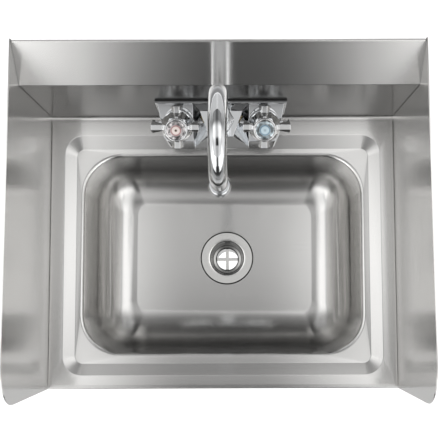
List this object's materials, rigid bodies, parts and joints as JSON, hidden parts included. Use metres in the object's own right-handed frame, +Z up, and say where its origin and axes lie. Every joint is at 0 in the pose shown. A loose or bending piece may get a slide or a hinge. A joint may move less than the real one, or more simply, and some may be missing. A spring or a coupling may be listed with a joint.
{
  "type": "hand wash sink",
  "caption": "Wall hung stainless steel hand wash sink with back and side splashes, a cross bar drain and a splash mounted faucet with lever cross handles and a swivelling gooseneck.",
  "frame": {"origin": "middle of the line between the wall bracket's two screw holes, on the wall's face", "axes": "+X to the right as a user stands at the sink, +Y into the wall, +Z up"},
  "size_m": [0.4458, 0.3853, 0.5625],
  "materials": {
    "stainless_sheet": "brushed",
    "bracket_steel": "mill finish",
    "drain_chrome": "satin chrome",
    "chrome_plate": "polished chrome",
    "black_rubber": "matt",
    "fibre": "pressed fibre",
    "zinc_alloy": "cast",
    "raw_brass": "machined",
    "ceramic": "ground ceramic",
    "screw_steel": "bright",
    "red_index": "clear over red",
    "blue_index": "clear over blue",
    "white_plastic": "moulded"
  },
  "bodies": {
    "sink": {"sink_shell": "stainless_sheet", "side_splash_left": "stainless_sheet", "side_splash_right": "stainless_sheet", "wall_bracket": "bracket_steel", "drain_body": "drain_chrome", "drain_gasket": "black_rubber", "drain_friction_ring": "fibre", "drain_locknut": "zinc_alloy", "tailpiece_washer": "black_rubber", "tailpiece": "drain_chrome", "tailpiece_nut": "drain_chrome", "faucet_body": "chrome_plate", "faucet_gasket": "black_rubber", "hot_shank": "raw_brass", "cold_shank": "raw_brass", "shank_washers": "bracket_steel", "shank_locknuts": "raw_brass", "hot_cartridge": "raw_brass", "cold_cartridge": "raw_brass", "hot_bonnet": "chrome_plate", "cold_bonnet": "chrome_plate", "hot_seat_seal": "black_rubber", "cold_seat_seal": "black_rubber", "hot_fixed_disc": "ceramic", "cold_fixed_disc": "ceramic", "spout_bush": "white_plastic", "spout_nut": "chrome_plate"},
    "hot_valve": {"hot_spindle": "raw_brass", "hot_moving_disc": "ceramic", "hot_handle": "chrome_plate", "hot_handle_screw": "screw_steel", "hot_index_button": "red_index"},
    "cold_valve": {"cold_spindle": "raw_brass", "cold_moving_disc": "ceramic", "cold_handle": "chrome_plate", "cold_handle_screw": "screw_steel", "cold_index_button": "blue_index"},
    "spout": {"spout_tube": "chrome_plate", "spout_ferrule": "raw_brass", "spout_o_ring": "black_rubber", "aerator_shell": "chrome_plate", "aerator_insert": "white_plastic", "aerator_washer": "black_rubber"}
  },
  "joints": [
    {"name": "spout_swivel", "type": "hinge", "parent": "sink", "child": "spout", "pos_m": [0, -0.063, -0.06], "axis": [0, 0, 1], "range_deg": [-90, 90]},
    {"name": "hot_handle_turn", "type": "hinge", "parent": "sink", "child": "hot_valve", "pos_m": [-0.0508, -0.0675, -0.06609], "axis": [0, -0.3746, 0.9272], "range_deg": [0, 90]},
    {"name": "cold_handle_turn", "type": "hinge", "parent": "sink", "child": "cold_valve", "pos_m": [0.0508, -0.0675, -0.06609], "axis": [0, -0.3746, 0.9272], "range_deg": [-90, 0]}
  ]
}
